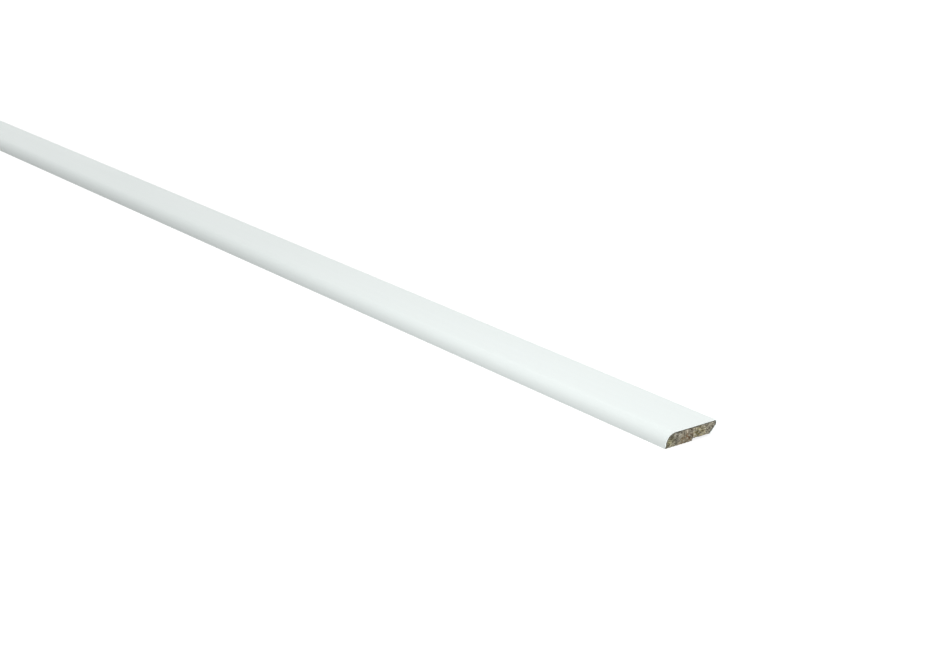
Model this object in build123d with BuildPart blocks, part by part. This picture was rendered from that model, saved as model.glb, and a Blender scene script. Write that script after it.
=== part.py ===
from build123d import *
import os

# Flat white skirting strip: a milled fibreboard core wrapped in decor foil and sawn to length.
# It lies on its back with the decor face up. +X runs along the strip, -Y is the rounded upper
# edge, +Y is the toe that meets the floor and +Z points out of the decor face. The origin is on
# the back, in the middle of the strip. Sizes are in millimetres.

# Overall size, foil included
LENGTH = 2400.0
WIDTH = 22.0
THICKNESS = 5.0

# Decor foil
FOIL = 0.3

# Rounded upper edge: a short straight lip, then a quarter round up to the face
LIP_HEIGHT = 0.8

# Floor edge of the core: an upright toe, then a bevel that runs back underneath
TOE_HEIGHT = 1.4
TOE_ARRIS = 0.4
BEVEL_RUN = 2.7

# Shallow rebate milled in the back of the core, beside the bevel
REBATE_DEPTH = 0.7
REBATE_WIDTH = 10.0

# Section of the core: y across the strip, z up from the back
core_left = -WIDTH / 2 + FOIL
core_right = WIDTH / 2 - FOIL
core_top = THICKNESS - FOIL
toe_bottom = core_top - TOE_HEIGHT
nose_radius = core_top - LIP_HEIGHT
rebate_step = core_right - REBATE_WIDTH
bevel_end = core_right - BEVEL_RUN

# The line that the foil follows over the core, from the back round the face to the rebate
wrap_corners = [
    (core_left, 0),
    (core_left, core_top),
    (core_right, core_top),
    (core_right, toe_bottom),
    (bevel_end, REBATE_DEPTH),
]
wrap_radii = [nose_radius, TOE_ARRIS, TOE_ARRIS]

# Both pieces are one section run along the strip from its far end
far_end = Plane.YZ.offset(-LENGTH / 2)

# Core: fibreboard milled to the section, bare on its back
with BuildPart() as mdf_core:
    with BuildSketch(far_end):
        with BuildLine():
            wrapped = FilletPolyline(*wrap_corners, radius=wrap_radii)
            Polyline(
                wrapped @ 1,
                (rebate_step, REBATE_DEPTH),
                (rebate_step, 0),
                wrapped @ 0,
            )
        make_face()
    extrude(amount=LENGTH)
mdf_core.part.label = "mdf_core"

# Foil: a skin of even thickness on the lip, round, face, toe and bevel
with BuildPart() as foil_wrap:
    with BuildSketch(far_end):
        with BuildLine():
            inner_line = FilletPolyline(*wrap_corners, radius=wrap_radii)
            offset(inner_line, amount=FOIL, side=Side.LEFT)
        make_face()
    extrude(amount=LENGTH)
foil_wrap.part.label = "foil_wrap"

os.makedirs("parts", exist_ok=True)
export_step(mdf_core.part, "parts/mdf_core.step")
export_step(foil_wrap.part, "parts/foil_wrap.step")
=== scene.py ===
from math import atan2, hypot, pi, radians, tan

import bmesh
import bpy
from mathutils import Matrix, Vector, noise


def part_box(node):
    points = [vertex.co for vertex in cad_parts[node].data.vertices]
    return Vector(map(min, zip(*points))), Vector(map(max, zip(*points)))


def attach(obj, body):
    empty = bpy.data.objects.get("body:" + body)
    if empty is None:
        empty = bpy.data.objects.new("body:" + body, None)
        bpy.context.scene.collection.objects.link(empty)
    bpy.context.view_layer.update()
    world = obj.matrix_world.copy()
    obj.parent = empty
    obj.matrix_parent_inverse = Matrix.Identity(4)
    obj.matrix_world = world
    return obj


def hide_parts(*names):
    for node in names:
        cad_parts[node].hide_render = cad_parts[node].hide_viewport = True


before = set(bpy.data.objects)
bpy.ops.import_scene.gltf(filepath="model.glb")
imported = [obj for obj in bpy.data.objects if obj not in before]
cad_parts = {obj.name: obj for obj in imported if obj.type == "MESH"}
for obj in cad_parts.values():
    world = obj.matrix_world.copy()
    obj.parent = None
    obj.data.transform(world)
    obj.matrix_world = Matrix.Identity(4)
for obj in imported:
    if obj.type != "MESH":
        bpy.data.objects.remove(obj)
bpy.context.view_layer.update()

# Fibreboard core
# A strip of thin, dense fibreboard, milled along its length: a rounded upper edge, a toe with a
# bevel under it at the floor edge, and a shallow rebate for glue in the back. A saw cuts it
# square to length, which leaves pitted, speckled faces with crumbled lower edges.
MM = 0.001
LIP_HEIGHT = 0.8 * MM
TOE_HEIGHT = 1.4 * MM
TOE_ARRIS = 0.4 * MM
BEVEL_RUN = 2.7 * MM
REBATE_DEPTH = 0.7 * MM
REBATE_WIDTH = 10.0 * MM
ROUND_STEPS = 24
ARRIS_STEPS = 6
ROWS = 12
SAWN_CELL = 0.12 * MM
SLIVER = 0.005 * MM
SNUG = 0.0001 * MM

core_low, core_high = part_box("mdf_core")
core_middle = (core_low + core_high) / 2
strip_length = core_high.x - core_low.x
row_length = strip_length / ROWS
nose_radius = core_high.z - core_low.z - LIP_HEIGHT
toe_bottom = core_high.z - TOE_HEIGHT
rebate_step = core_high.y - REBATE_WIDTH
rebate_floor = core_low.z + REBATE_DEPTH
bevel_end = core_high.y - BEVEL_RUN
bevel_rise = toe_bottom - rebate_floor
bevel_turn = atan2(BEVEL_RUN, bevel_rise)


def everywhere(place):
    """Passes every place."""
    return True


def beside_step(place):
    """Passes what lies on the toe's side of the step in the back."""
    return place.y > rebate_step


def pick(kind, test):
    """Selects, in edit mode, only the points or faces whose place passes the test."""
    bpy.ops.mesh.select_mode(type=kind)
    bpy.ops.mesh.select_all(action="DESELECT")
    edited = bmesh.from_edit_mesh(bpy.context.object.data)
    for part in edited.verts if kind == "VERT" else edited.faces:
        part.select_set(test(part.co if kind == "VERT" else part.calc_center_median()))
    edited.select_flush_mode()
    bmesh.update_edit_mesh(bpy.context.object.data)


def cut(point, facing, kind="VERT", test=everywhere, drop=False):
    """Cuts what is picked along a plane, and may drop what lies in front of it."""
    pick(kind, test)
    bpy.ops.mesh.bisect(plane_co=point, plane_no=facing, clear_outer=drop, threshold=SNUG)


def round_corner(y, z, reach, steps):
    """Rounds the section's corner at y, z, starting that reach along both of its sides."""
    pick("VERT", lambda place: abs(place.y - y) < SNUG and abs(place.z - z) < SNUG)
    bpy.ops.mesh.bevel(offset=reach, segments=steps, affect="VERTICES")


def wrapped_section(name):
    """A flat face with the core's wrapped outline, at its far end, left in edit mode."""
    bpy.ops.object.select_all(action="DESELECT")
    far_end = (core_low.x, core_middle.y, core_middle.z)
    bpy.ops.mesh.primitive_plane_add(size=1, location=far_end, rotation=(pi / 2, 0, pi / 2))
    section = bpy.context.object
    section.name = name
    section.scale = (core_high.y - core_low.y, core_high.z - core_low.z, 1)
    bpy.ops.object.transform_apply(location=True, rotation=True, scale=True)
    bpy.ops.object.mode_set(mode="EDIT")
    cut((core_low.x, bevel_end, rebate_floor), (0, bevel_rise, -BEVEL_RUN), drop=True)
    round_corner(core_low.y, core_high.z, nose_radius, ROUND_STEPS)
    round_corner(core_high.y, core_high.z, TOE_ARRIS, ARRIS_STEPS)
    round_corner(core_high.y, toe_bottom, TOE_ARRIS * tan(bevel_turn / 2), ARRIS_STEPS)
    return section


def draw_out():
    """Draws the section in edit mode out to the strip's length, in rows with a seam between them."""
    bpy.ops.mesh.select_all(action="SELECT")
    bpy.ops.mesh.remove_doubles(threshold=SLIVER)
    bpy.ops.mesh.extrude_region_move(TRANSFORM_OT_translate={"value": (strip_length, 0, 0)})
    bpy.ops.mesh.select_all(action="SELECT")
    bpy.ops.mesh.normals_make_consistent(inside=False)
    for row in range(1, ROWS):
        station = core_low.x + row * row_length
        cut((station, core_low.y, core_low.z), (1, 0, 0))
        pick("VERT", lambda place: abs(place.x - station) < SNUG)
        bpy.ops.mesh.mark_seam(clear=False)
    bpy.ops.object.mode_set(mode="OBJECT")


core = wrapped_section("core_strip")
cut((core_low.x, rebate_step, core_low.z), (0, 1, 0))
cut((core_low.x, rebate_step, rebate_floor), (0, 0, 1), kind="FACE", test=beside_step)
pick("FACE", lambda place: beside_step(place) and place.z < rebate_floor)
bpy.ops.mesh.delete(type="FACE")
for column in range(1, round((core_high.y - core_low.y) / SAWN_CELL)):
    cut((core_low.x, core_low.y + column * SAWN_CELL, core_low.z), (0, 1, 0))
for layer in range(1, round((core_high.z - core_low.z) / SAWN_CELL)):
    cut((core_low.x, core_low.y, core_low.z + layer * SAWN_CELL), (0, 0, 1))
draw_out()

# The saw tears out fibres and crumbles the arrises that no foil holds. Points only move inwards.
# A fractal is set by how its octaves fade, the step between them and how many there are. A pattern's
# seed is added to that of its end, so that no two patterns and no two ends are alike.
FIBRE_ACROSS = 0.7 * MM
FIBRE_UP = 0.4 * MM
FIBRE_DEPTH = 0.09 * MM
FIBRE_FRACTAL = (0.7, 2.0, 4)
PIT_WIDTH = 0.5 * MM
PIT_DEPTH = 0.35 * MM
PIT_RARITY = 0.35
PIT_SEED = 40
SAW_PITCH = 0.45 * MM
SAW_STROKE = 9.0 * MM
SAW_DEPTH = 0.03 * MM
SAW_SEED = 80
CRUMB_WIDTH = 1.1 * MM
CRUMB_DEPTH = 0.65 * MM
CRUMB_FRACTAL = (1.0, 2.0, 3)
CRUMB_SEED = 120
END_SEED = 7.3
# The band under the foil's edge where the core sits back, and which the finish darkens partly as glue
# and partly as painted shade.
GLUE_AND_SHADE_BAND = 0.5 * MM
GLUE_GAP = 0.1 * MM
SHARP_CORE_EDGE = 35


def under_foil(place):
    """How far a point of the section lies under the wrapped outline."""
    reach = min(core_high.z - place.z, place.y - core_low.y, core_high.y - place.y)
    past_toe = Vector((place.y - core_high.y, place.z - toe_bottom))
    bevel = (past_toe.y * BEVEL_RUN - past_toe.x * bevel_rise) / hypot(BEVEL_RUN, bevel_rise)
    round_y = core_low.y + nose_radius - place.y
    round_z = place.z - core_low.z - LIP_HEIGHT
    if round_y > 0 and round_z > 0:
        reach = nose_radius - hypot(round_y, round_z)
    return max(0.0, min(reach, bevel))


def above_back(place):
    """How far a point of the section lies from the bare back."""
    if place.y > rebate_step:
        return max(0.0, place.z - rebate_floor)
    if place.z < rebate_floor:
        return min(place.z - core_low.z, rebate_step - place.y)
    return place.z - core_low.z


def in_glue_and_shade_band(place):
    """1 on the wrapped outline, fading to 0 where the band of glue and painted shade ends."""
    return max(0.0, 1 - under_foil(place) / GLUE_AND_SHADE_BAND)


def sawn_depth(place, seed):
    """How far the saw leaves a point of the cut behind its plane."""
    fibre = noise.fractal(Vector((place.y / FIBRE_ACROSS, place.z / FIBRE_UP, seed)), *FIBRE_FRACTAL)
    pit = noise.noise(Vector((place.y / PIT_WIDTH, place.z / PIT_WIDTH, seed + PIT_SEED)))
    stroke = noise.noise(Vector((place.y / SAW_PITCH, place.z / SAW_STROKE, seed + SAW_SEED)))
    crumb = noise.fractal(Vector((place.y / CRUMB_WIDTH, 0.0, seed + CRUMB_SEED)), *CRUMB_FRACTAL)
    depth = FIBRE_DEPTH * (1 + fibre) / 2 + SAW_DEPTH * (1 + stroke) / 2
    depth += PIT_DEPTH * max(0.0, pit - PIT_RARITY)
    depth += max(0.0, CRUMB_DEPTH * max(0.0, crumb) - above_back(place))
    depth += GLUE_GAP * in_glue_and_shade_band(place)
    return max(0.0, depth)


# How deep the saw leaves each point behind its plane, which the finish darkens as painted shade.
relief = core.data.attributes.new("relief", "FLOAT", "POINT")
# The band along the foil's edge, which the finish darkens partly as glue and partly as painted shade
# where the core meets the foil.
glue_and_shade = core.data.attributes.new("glue_and_shade", "FLOAT", "POINT")
for point in core.data.vertices:
    glue_and_shade.data[point.index].value = in_glue_and_shade_band(point.co)
    if core_low.x + SNUG < point.co.x < core_high.x - SNUG:
        continue
    outwards = 1 if point.co.x > core_middle.x else -1
    depth = sawn_depth(point.co, outwards * END_SEED)
    point.co.x -= outwards * depth
    relief.data[point.index].value = depth / FIBRE_DEPTH
sawn = core.data.attributes.new("sawn", "FLOAT", "FACE")
for face in core.data.polygons:
    from_end = strip_length / 2 - abs(face.center.x - core_middle.x)
    sawn.data[face.index].value = float(from_end < row_length / 4)
bpy.ops.object.shade_smooth_by_angle(angle=radians(SHARP_CORE_EDGE))

# The core's own map for its finish: the sawn faces fill two bands of it, and the long sides
# lie above them in rows, with what the foil hides pressed together, so that the speckle gets most room.
SAWN_BAND = 0.22
BARE_ROOM = 20.0 * MM
HIDDEN_ROOM = 6.0 * MM
HIDDEN_TURN = 3.6
MAP_FILL = 0.98
FLAT_ON = 0.9

row_height = (1 - 2 * SAWN_BAND) / ROWS
finish_map = core.data.uv_layers.new(name="OFBake")
for face in core.data.polygons:
    row = int((face.center.x - core_low.x) / row_length)
    in_step = face.normal.y > FLAT_ON and face.center.z < rebate_floor
    for corner in face.loop_indices:
        place = core.data.vertices[core.data.loops[corner].vertex_index].co
        if sawn.data[face.index].value:
            along = (place.y - core_low.y) / (core_high.y - core_low.y)
            above = (place.z - core_low.z) / (core_high.z - core_low.z)
            bottom = SAWN_BAND if row > 0 else 0.0
            height = SAWN_BAND
        else:
            along = (place.x - core_low.x) / row_length - row
            run = place.y - core_low.y + place.z - core_low.z
            if not in_step and face.normal.z > -FLAT_ON:
                turn = atan2(place.y - core_middle.y, place.z - core_middle.z)
                run = BARE_ROOM + HIDDEN_ROOM * (0.5 + turn / HIDDEN_TURN)
            above = run / (BARE_ROOM + HIDDEN_ROOM)
            bottom = 2 * SAWN_BAND + row * row_height
            height = row_height
        finish_map.data[corner].uv = (MAP_FILL * along, bottom + MAP_FILL * above * height)


def hex_colour(code):
    """Linear RGBA from an sRGB hex colour."""
    shares = [int(code[i : i + 2], 16) / 255 for i in (1, 3, 5)]
    return (*[c / 12.92 if c <= 0.04045 else ((c + 0.055) / 1.055) ** 2.4 for c in shares], 1.0)


def add_node(owner, kind, inputs, **settings):
    """Adds a node with its settings. An input is a value, or the socket that feeds it."""
    tree = owner.node_tree
    made = tree.nodes.new(kind)
    for name, value in settings.items():
        setattr(made, name, value)
    for name, value in inputs.items():
        if isinstance(value, bpy.types.NodeSocket):
            tree.links.new(value, made.inputs[name])
        else:
            made.inputs[name].default_value = value
    return made


# Raw dense fibreboard: wood fibre and resin pressed flat, dull all over. Sawn, it shows the eye flat
# bundles of pale fibre with dark seams between them, strands, grit and pits, with a streaked
# spot where the saw smeared it, and olive and brown patches of bark and resin. Painted shade darkens
# it where the cut lies deepest, in its pits and crumbled edges. Milled, on the back, it is an even fuzz
# with dark specks of bark and the faint ripple of the cutter. Under the foil's edge it is darkened,
# partly by glue and partly by painted shade where it meets the foil. Real fibres are finer, and these
# are drawn coarse enough to show in the render.
# A speckle has its grains' size along the strip, across it and up, the detail of its noise, and the
# lowest and highest noise that are spread from 0 to 1.
SPECKLES_MM = {
    "fleck": ((2.0, 1.8, 1.2), 9.0, 0.36, 0.64),
    "streak": ((1.1, 0.75, 9.0), 2.0, 0.3, 0.7),
    "strand": ((1.5, 1.1, 0.1), 5.0, 0.4, 0.6),
    "fuzz": ((1.1, 0.35, 0.35), 8.0, 0.3, 0.7),
    "bark": ((0.8, 0.45, 0.45), 2.0, 0.6, 0.7),
    "grit": ((0.22, 0.22, 0.22), 4.0, 0.35, 0.65),
    "blotch": ((1.2, 1.1, 0.7), 2.0, 0.4, 0.6),
}
SPECKLE_ROUGHNESS = 0.65
BUNDLE_MM = (1.2, 0.8, 0.24)
BUNDLE_FRAY = 0.6
BUNDLE_SHARE = 0.5
SEAM_WIDTH = 0.12
SEAM_SHARE = 0.35
STRAND_SHARE = 0.24
GRIT_SHARE = 0.12
GRIT_HEIGHT = 0.05 * MM
DARKEST_FIBRE = 0.255
PALEST_FIBRE = 0.675
FIBRE_DARK = "#454034"
FIBRE_MIDDLE = "#918c7b"
FIBRE_PALE = "#cec8b6"
STRAY_MM = 2.2
SPOT_HEART = 0.3
STREAKED_SPOT_MM = (0.0, -1.0, 3.0)
STREAKED_REACH_MM = 4.5
STREAK_SHARE = 0.6
TINTED_SPOTS_MM = (
    ((0.0, -9.0, 1.7), 3.2, "#f1f1d0"),
    ((0.0, -2.8, 0.7), 3.6, "#f2ddc3"),
    ((0.0, 3.6, 1.8), 4.0, "#efe8ba"),
    ((0.0, -1.0, 3.0), 3.6, "#e2d7d3"),
    ((0.0, -0.6, 1.0), 3.0, "#c2b6a9"),
    ((0.0, -6.5, 3.6), 4.0, "#e8edf6"),
)
# Painted shade in the deepest torn places of the sawn face: where it starts, where it is full, its share
# and its colour.
PIT_SHADE_STARTS = 0.6
PIT_SHADE_FULL = 1.6
PIT_SHADE_SHARE = 0.85
PIT_PAINTED_SHADE = "#453f34"
MILLED_DARK = "#7f7560"
MILLED_PALE = "#b6ac97"
BARK_DARK = "#564c3c"
BARK_SHARE = 0.6
# Darkening along the foil's edge, partly glue and partly painted shade.
GLUE_AND_SHADE_DARK = "#4f4e4a"
GLUE_AND_SHADE_SHARE = 0.8
RIPPLE_MM = 1.3
RIPPLE_HEIGHT = 0.02 * MM
RIPPLE_WANDER = 0.4
WAVE_RADIANS = 20
BOARD_SMOOTHEST = 0.82
BOARD_ROUGHEST = 0.96
BOARD_SPECULAR = 0.25

# Sockets of a Mix node: its share, its two numbers, its two colours, and the colour that it gives
FACTOR, NUMBER_A, NUMBER_B, COLOUR_A, COLOUR_B, MIXED = 0, 2, 3, 6, 7, 2

fibreboard = bpy.data.materials.new("raw_sawn_fibreboard")
fibreboard.use_nodes = True
fibreboard.node_tree.nodes.clear()
on_core = add_node(fibreboard, "ShaderNodeTexCoord", {})
in_mm = add_node(
    fibreboard,
    "ShaderNodeVectorMath",
    {0: on_core.outputs["Object"], "Scale": 1 / MM},
    operation="SCALE",
)
cut_face = add_node(fibreboard, "ShaderNodeAttribute", {}, attribute_name="sawn")
torn = add_node(fibreboard, "ShaderNodeAttribute", {}, attribute_name="relief")
glued_and_shaded = add_node(fibreboard, "ShaderNodeAttribute", {}, attribute_name="glue_and_shade")

grains = {}
speckle = {}
for name, (size_mm, detail, low, high) in SPECKLES_MM.items():
    sized = add_node(
        fibreboard,
        "ShaderNodeVectorMath",
        {0: in_mm.outputs[0], 1: size_mm},
        operation="DIVIDE",
    )
    grains[name] = add_node(
        fibreboard,
        "ShaderNodeTexNoise",
        {"Vector": sized.outputs[0], "Scale": 1.0, "Detail": detail, "Roughness": SPECKLE_ROUGHNESS},
    )
    spread = add_node(
        fibreboard,
        "ShaderNodeMapRange",
        {"Value": grains[name].outputs["Fac"], "From Min": low, "From Max": high},
    )
    speckle[name] = spread.outputs[0]

# A place on the sawn face, across and up, led astray so that the patches on it have ragged rims
strays = add_node(
    fibreboard,
    "ShaderNodeTexNoise",
    {"Vector": in_mm.outputs[0], "Scale": 1 / STRAY_MM, "Roughness": SPECKLE_ROUGHNESS},
)
wander = add_node(
    fibreboard,
    "ShaderNodeVectorMath",
    {
        0: strays.outputs["Color"],
        1: (0.0, STRAY_MM, STRAY_MM),
        2: (0.0, -STRAY_MM / 2, -STRAY_MM / 2),
    },
    operation="MULTIPLY_ADD",
)
strayed = add_node(
    fibreboard,
    "ShaderNodeVectorMath",
    {0: in_mm.outputs[0], 1: (0.0, 1.0, 1.0), 2: wander.outputs[0]},
    operation="MULTIPLY_ADD",
)


def near_spot(middle_mm, reach_mm):
    """1 in the heart of a patch of the sawn face, fading to 0 at its ragged rim."""
    off = add_node(
        fibreboard,
        "ShaderNodeVectorMath",
        {0: strayed.outputs[0], 1: middle_mm},
        operation="DISTANCE",
    )
    fade = add_node(
        fibreboard,
        "ShaderNodeMapRange",
        {"Value": off.outputs["Value"], "From Min": reach_mm, "From Max": SPOT_HEART * reach_mm},
        interpolation_type="SMOOTHSTEP",
    )
    return fade.outputs[0]


bundle_place = add_node(
    fibreboard,
    "ShaderNodeVectorMath",
    {0: in_mm.outputs[0], 1: BUNDLE_MM},
    operation="DIVIDE",
)
frayed = add_node(
    fibreboard,
    "ShaderNodeVectorMath",
    {0: grains["fleck"].outputs["Color"], 1: (BUNDLE_FRAY,) * 3, 2: bundle_place.outputs[0]},
    operation="MULTIPLY_ADD",
)
bundles = add_node(fibreboard, "ShaderNodeTexVoronoi", {"Vector": frayed.outputs[0], "Scale": 1.0})
bundled = add_node(
    fibreboard,
    "ShaderNodeMix",
    {FACTOR: BUNDLE_SHARE, NUMBER_A: speckle["fleck"], NUMBER_B: bundles.outputs["Color"]},
)
seams = add_node(
    fibreboard,
    "ShaderNodeTexVoronoi",
    {"Vector": frayed.outputs[0], "Scale": 1.0},
    feature="DISTANCE_TO_EDGE",
)
seamed = add_node(
    fibreboard,
    "ShaderNodeMapRange",
    {"Value": seams.outputs["Distance"], "From Max": SEAM_WIDTH, "To Min": 1 - SEAM_SHARE},
)
parted = add_node(
    fibreboard,
    "ShaderNodeMath",
    {0: bundled.outputs[0], 1: seamed.outputs[0]},
    operation="MULTIPLY",
)
streaked = add_node(
    fibreboard,
    "ShaderNodeMath",
    {0: near_spot(STREAKED_SPOT_MM, STREAKED_REACH_MM), 1: STREAK_SHARE},
    operation="MULTIPLY",
)
mottle = add_node(
    fibreboard,
    "ShaderNodeMix",
    {FACTOR: streaked.outputs[0], NUMBER_A: parted.outputs[0], NUMBER_B: speckle["streak"]},
)
stranded = add_node(
    fibreboard,
    "ShaderNodeMix",
    {FACTOR: STRAND_SHARE, NUMBER_A: mottle.outputs[0], NUMBER_B: speckle["strand"]},
)
gritted = add_node(
    fibreboard,
    "ShaderNodeMix",
    {FACTOR: GRIT_SHARE, NUMBER_A: stranded.outputs[0], NUMBER_B: speckle["grit"]},
)
fibred = add_node(
    fibreboard,
    "ShaderNodeMapRange",
    {"Value": gritted.outputs[0], "From Min": DARKEST_FIBRE, "From Max": PALEST_FIBRE},
)
sawn_tone = add_node(fibreboard, "ShaderNodeValToRGB", {"Fac": fibred.outputs[0]})
sawn_tone.color_ramp.elements[0].color = hex_colour(FIBRE_DARK)
sawn_tone.color_ramp.elements[1].color = hex_colour(FIBRE_PALE)
sawn_tone.color_ramp.elements.new(0.5).color = hex_colour(FIBRE_MIDDLE)
tinted = sawn_tone.outputs[0]
for middle_mm, reach_mm, tint in TINTED_SPOTS_MM:
    in_spot = add_node(
        fibreboard,
        "ShaderNodeMath",
        {0: near_spot(middle_mm, reach_mm), 1: speckle["blotch"]},
        operation="MULTIPLY",
    )
    spot_tone = add_node(
        fibreboard,
        "ShaderNodeMix",
        {FACTOR: in_spot.outputs[0], COLOUR_A: tinted, COLOUR_B: hex_colour(tint)},
        data_type="RGBA",
        blend_type="MULTIPLY",
    )
    tinted = spot_tone.outputs[MIXED]
# Painted shade: the sawn face is darkened where it lies deepest behind the saw's plane, as in its pits
# and crumbled edges.
painted_pit_shade = add_node(
    fibreboard,
    "ShaderNodeMapRange",
    {
        "Value": torn.outputs["Fac"],
        "From Min": PIT_SHADE_STARTS,
        "From Max": PIT_SHADE_FULL,
        "To Max": PIT_SHADE_SHARE,
    },
)
pit_shaded_tone = add_node(
    fibreboard,
    "ShaderNodeMix",
    {FACTOR: painted_pit_shade.outputs[0], COLOUR_A: tinted, COLOUR_B: hex_colour(PIT_PAINTED_SHADE)},
    data_type="RGBA",
)
milled_tone = add_node(
    fibreboard,
    "ShaderNodeMix",
    {FACTOR: speckle["fuzz"], COLOUR_A: hex_colour(MILLED_DARK), COLOUR_B: hex_colour(MILLED_PALE)},
    data_type="RGBA",
)
barked = add_node(
    fibreboard,
    "ShaderNodeMath",
    {0: speckle["bark"], 1: BARK_SHARE},
    operation="MULTIPLY",
)
specked_tone = add_node(
    fibreboard,
    "ShaderNodeMix",
    {
        FACTOR: barked.outputs[0],
        COLOUR_A: milled_tone.outputs[MIXED],
        COLOUR_B: hex_colour(BARK_DARK),
    },
    data_type="RGBA",
)
board_tone = add_node(
    fibreboard,
    "ShaderNodeMix",
    {
        FACTOR: cut_face.outputs["Fac"],
        COLOUR_A: specked_tone.outputs[MIXED],
        COLOUR_B: pit_shaded_tone.outputs[MIXED],
    },
    data_type="RGBA",
)
# Glue and painted shade: the core is darkened in a band along the foil's edge, where it meets the foil.
glue_and_painted_shade = add_node(
    fibreboard,
    "ShaderNodeMath",
    {0: glued_and_shaded.outputs["Fac"], 1: GLUE_AND_SHADE_SHARE},
    operation="MULTIPLY",
)
glue_and_shade_tone = add_node(
    fibreboard,
    "ShaderNodeMix",
    {
        FACTOR: glue_and_painted_shade.outputs[0],
        COLOUR_A: board_tone.outputs[MIXED],
        COLOUR_B: hex_colour(GLUE_AND_SHADE_DARK),
    },
    data_type="RGBA",
)

# A wave at scale 1 runs through WAVE_RADIANS in each millimetre, so this scale gives one cutter mark
# in each RIPPLE_MM along the strip.
ripples = add_node(
    fibreboard,
    "ShaderNodeTexWave",
    {
        "Vector": in_mm.outputs[0],
        "Scale": 2 * pi / (WAVE_RADIANS * RIPPLE_MM),
        "Distortion": RIPPLE_WANDER,
    },
    bands_direction="X",
)
rippled = add_node(
    fibreboard,
    "ShaderNodeBump",
    {"Height": ripples.outputs["Fac"], "Distance": RIPPLE_HEIGHT},
)
gritty = add_node(
    fibreboard,
    "ShaderNodeBump",
    {"Height": speckle["grit"], "Distance": GRIT_HEIGHT, "Normal": rippled.outputs[0]},
)
dullness = add_node(
    fibreboard,
    "ShaderNodeMapRange",
    {"Value": speckle["grit"], "To Min": BOARD_SMOOTHEST, "To Max": BOARD_ROUGHEST},
)
board = add_node(
    fibreboard,
    "ShaderNodeBsdfPrincipled",
    {
        "Base Color": glue_and_shade_tone.outputs[MIXED],
        "Roughness": dullness.outputs[0],
        "Specular IOR Level": BOARD_SPECULAR,
        "Normal": gritty.outputs[0],
    },
)
add_node(fibreboard, "ShaderNodeOutputMaterial", {"Surface": board.outputs[0]})
core.data.materials.append(fibreboard)
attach(core, "root")
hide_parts("mdf_core")

# Decor foil
# White plastic foil, glued round the core as it runs through a wrapping machine. It covers the
# lip, round, face, toe and bevel, and the saw leaves its edge as a thin white line at each end.
# At the shown end a chip of it has broken off the lip's lower corner, in two strokes.
CHIP_STROKES = ((0.95 * MM, 0.4 * MM), (0.4 * MM, 0.7 * MM))
SHARP_FOIL_EDGE = 30

foil_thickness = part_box("foil_wrap")[1].z - core_high.z


def at_shown_lip(place):
    """Passes the lip and round of the row that ends at the shown end."""
    return place.x > core_high.x - row_length and place.y < core_low.y + nose_radius


foil = wrapped_section("decor_foil")
bpy.ops.mesh.select_all(action="SELECT")
bpy.ops.mesh.delete(type="ONLY_FACE")
cut((core_low.x, bevel_end, rebate_floor), (0, 0, -1), test=beside_step, drop=True)
draw_out()
bpy.ops.object.mode_set(mode="EDIT")
for rise, run in CHIP_STROKES:
    stroke_foot = (core_high.x - run, core_low.y, core_low.z)
    cut(stroke_foot, (rise, 0, -run), kind="FACE", test=at_shown_lip, drop=True)
bpy.ops.object.mode_set(mode="OBJECT")
thicken = foil.modifiers.new("foil thickness", "SOLIDIFY")
thicken.thickness = foil_thickness
thicken.offset = 1
thicken.use_even_offset = True
bpy.ops.object.modifier_apply(modifier=thicken.name)
bpy.ops.object.shade_smooth_by_angle(angle=radians(SHARP_FOIL_EDGE))

# Satin white plastic film with a cold tint, calendered smooth. It gives the eye an even white with a
# soft sheen along the round. Close to, the sheen is a little uneven where the board's fibres press
# through from below and along the lines that the wrapping rollers leave. Both are finer and
# shallower on a real strip, and are drawn coarser here so that they show at all.
PEEL_MM = (9.0, 3.0, 3.0)
PEEL_HEIGHT = 0.008 * MM
ROLLER_MM = (500.0, 0.9, 0.9)
ROLLER_DARK = "#eff6f4"
ROLLER_PALE = "#f3faf8"
SHEEN_MM = (70.0, 6.0, 6.0)
SHEEN_LOW = 0.3
SHEEN_HIGH = 0.7
FILM_SMOOTHEST = 0.36
FILM_ROUGHEST = 0.45
FILM_IOR = 1.5

foil_white = bpy.data.materials.new("satin_white_foil")
foil_white.use_nodes = True
foil_white.node_tree.nodes.clear()
on_foil = add_node(foil_white, "ShaderNodeTexCoord", {})
film_patterns = []
for size_mm in (PEEL_MM, ROLLER_MM, SHEEN_MM):
    sized = add_node(
        foil_white,
        "ShaderNodeVectorMath",
        {0: on_foil.outputs["Object"], 1: [size * MM for size in size_mm]},
        operation="DIVIDE",
    )
    pattern = add_node(foil_white, "ShaderNodeTexNoise", {"Vector": sized.outputs[0], "Scale": 1.0})
    film_patterns.append(pattern.outputs["Fac"])
peel, roller_lines, sheen = film_patterns
film_tone = add_node(
    foil_white,
    "ShaderNodeMix",
    {FACTOR: roller_lines, COLOUR_A: hex_colour(ROLLER_DARK), COLOUR_B: hex_colour(ROLLER_PALE)},
    data_type="RGBA",
)
film_gloss = add_node(
    foil_white,
    "ShaderNodeMapRange",
    {
        "Value": sheen,
        "From Min": SHEEN_LOW,
        "From Max": SHEEN_HIGH,
        "To Min": FILM_SMOOTHEST,
        "To Max": FILM_ROUGHEST,
    },
)
pressed_through = add_node(foil_white, "ShaderNodeBump", {"Height": peel, "Distance": PEEL_HEIGHT})
film = add_node(
    foil_white,
    "ShaderNodeBsdfPrincipled",
    {
        "Base Color": film_tone.outputs[MIXED],
        "Roughness": film_gloss.outputs[0],
        "IOR": FILM_IOR,
        "Normal": pressed_through.outputs[0],
    },
)
add_node(foil_white, "ShaderNodeOutputMaterial", {"Surface": film.outputs[0]})
foil.data.materials.append(foil_white)
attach(foil, "root")
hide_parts("foil_wrap")

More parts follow.
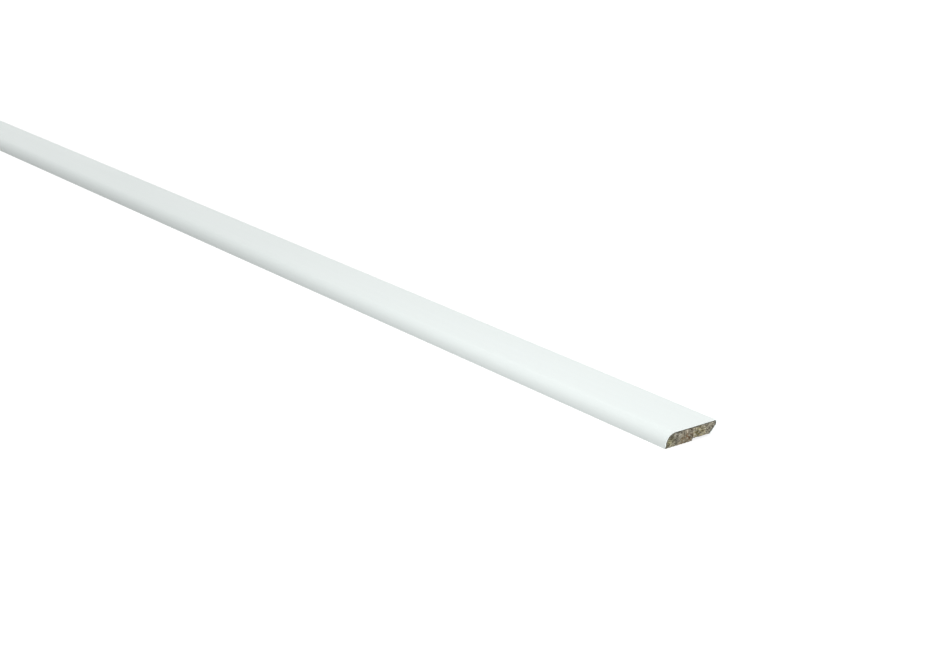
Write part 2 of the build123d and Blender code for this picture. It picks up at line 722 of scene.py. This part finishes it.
# Studio
# A plain white floor under white surroundings, with a large softbox high over the strip, a small one
# near the shown end on the camera's side, and a low one that shines on each sawn end. The floor is
# drawn white for the camera and in reflections, and keeps the strip's shadow.
FLOOR_SIZE = 40.0
FLOOR_TONE = "#aaaaaa"
FLOOR_GLOW = 0.8
WHITE = "#ffffff"
SKY_LEVEL = 0.582
SKY_SEEN = 1.0

bpy.ops.object.select_all(action="DESELECT")
bpy.ops.mesh.primitive_plane_add(size=FLOOR_SIZE, location=(0, 0, core_low.z))
floor = bpy.context.object
floor.name = "studio_floor"


def seen_directly(owner):
    """1 for rays from the camera, a mirror or a glass, and 0 for rays that carry light."""
    ray = add_node(owner, "ShaderNodeLightPath", {})
    through = add_node(
        owner,
        "ShaderNodeMath",
        {0: ray.outputs["Is Glossy Ray"], 1: ray.outputs["Is Transmission Ray"]},
        operation="MAXIMUM",
    )
    either = {0: ray.outputs["Is Camera Ray"], 1: through.outputs[0]}
    return add_node(owner, "ShaderNodeMath", either, operation="MAXIMUM").outputs[0]


# Matt white backdrop paper, lit as any surface is. A glow that only the camera and reflections see
# takes it to an even white.
white_paper = bpy.data.materials.new("white_floor_paper")
white_paper.use_nodes = True
white_paper.node_tree.nodes.clear()
lit = add_node(white_paper, "ShaderNodeBsdfDiffuse", {"Color": hex_colour(FLOOR_TONE)})
glow = add_node(white_paper, "ShaderNodeEmission", {"Color": hex_colour(WHITE), "Strength": FLOOR_GLOW})
shown = add_node(white_paper, "ShaderNodeAddShader", {0: lit.outputs[0], 1: glow.outputs[0]})
paper = add_node(
    white_paper,
    "ShaderNodeMixShader",
    {0: seen_directly(white_paper), 1: lit.outputs[0], 2: shown.outputs[0]},
)
add_node(white_paper, "ShaderNodeOutputMaterial", {"Surface": paper.outputs[0]})
floor.data.materials.append(white_paper)

sky = bpy.data.worlds.new("white_surroundings")
sky.use_nodes = True
sky.node_tree.nodes.clear()
level = add_node(
    sky,
    "ShaderNodeMapRange",
    {"Value": seen_directly(sky), "To Min": SKY_LEVEL, "To Max": SKY_SEEN},
)
light = add_node(sky, "ShaderNodeBackground", {"Color": hex_colour(WHITE), "Strength": level.outputs[0]})
add_node(sky, "ShaderNodeOutputWorld", {"Surface": light.outputs[0]})
bpy.context.scene.world = sky

# Each softbox has the end that it is aimed at, its place from there, its width, and the level at
# which it alone lights a white surface that faces it there.
SHOWN_END, FAR_END = 1, -1
SOFTBOXES = (
    ("overhead_softbox", SHOWN_END, (-1.2, 0.5, 4.0), 3.0, 0.171),
    ("near_softbox", SHOWN_END, (-0.04, -0.22, 0.215), 0.1, 0.306),
    ("end_softbox", SHOWN_END, (1.05, 0.1, 0.05), 0.3, 0.78),
    ("far_softbox", FAR_END, (-1.05, 0.1, 0.05), 0.3, 0.78),
)

for name, end, offset, width, brightness in SOFTBOXES:
    aim = Vector((core_middle.x + end * strip_length / 2, core_middle.y, core_high.z))
    away = Vector(offset)
    turned = away.to_track_quat("Z", "Y").to_euler()
    bpy.ops.object.light_add(type="AREA", location=aim + away, rotation=turned)
    softbox = bpy.context.object
    softbox.name = name
    softbox.data.size = width
    softbox.data.energy = brightness * pi**2 * away.length_squared
    softbox.visible_camera = False
    softbox.visible_glossy = False

# Camera
# A short telephoto, a little over half a metre from the sawn end. It stands past the end on the
# side of the rounded edge, and looks back along the strip and down on it.
CAMERA_BEYOND_END = 0.3858
CAMERA_ASIDE = -0.3764
CAMERA_HEIGHT = 0.2176
CAMERA_TURN = 53.179
CAMERA_DIP = 18.700
CAMERA_LENS = 70.21
CAMERA_SENSOR = 36.0

bpy.ops.object.camera_add(
    location=(core_high.x + CAMERA_BEYOND_END, CAMERA_ASIDE, CAMERA_HEIGHT),
    rotation=(radians(90 - CAMERA_DIP), 0, radians(CAMERA_TURN)),
)
camera = bpy.context.object
camera.data.lens = CAMERA_LENS
camera.data.sensor_width = CAMERA_SENSOR
bpy.context.scene.camera = camera
bpy.context.scene.view_settings.view_transform = "Standard"
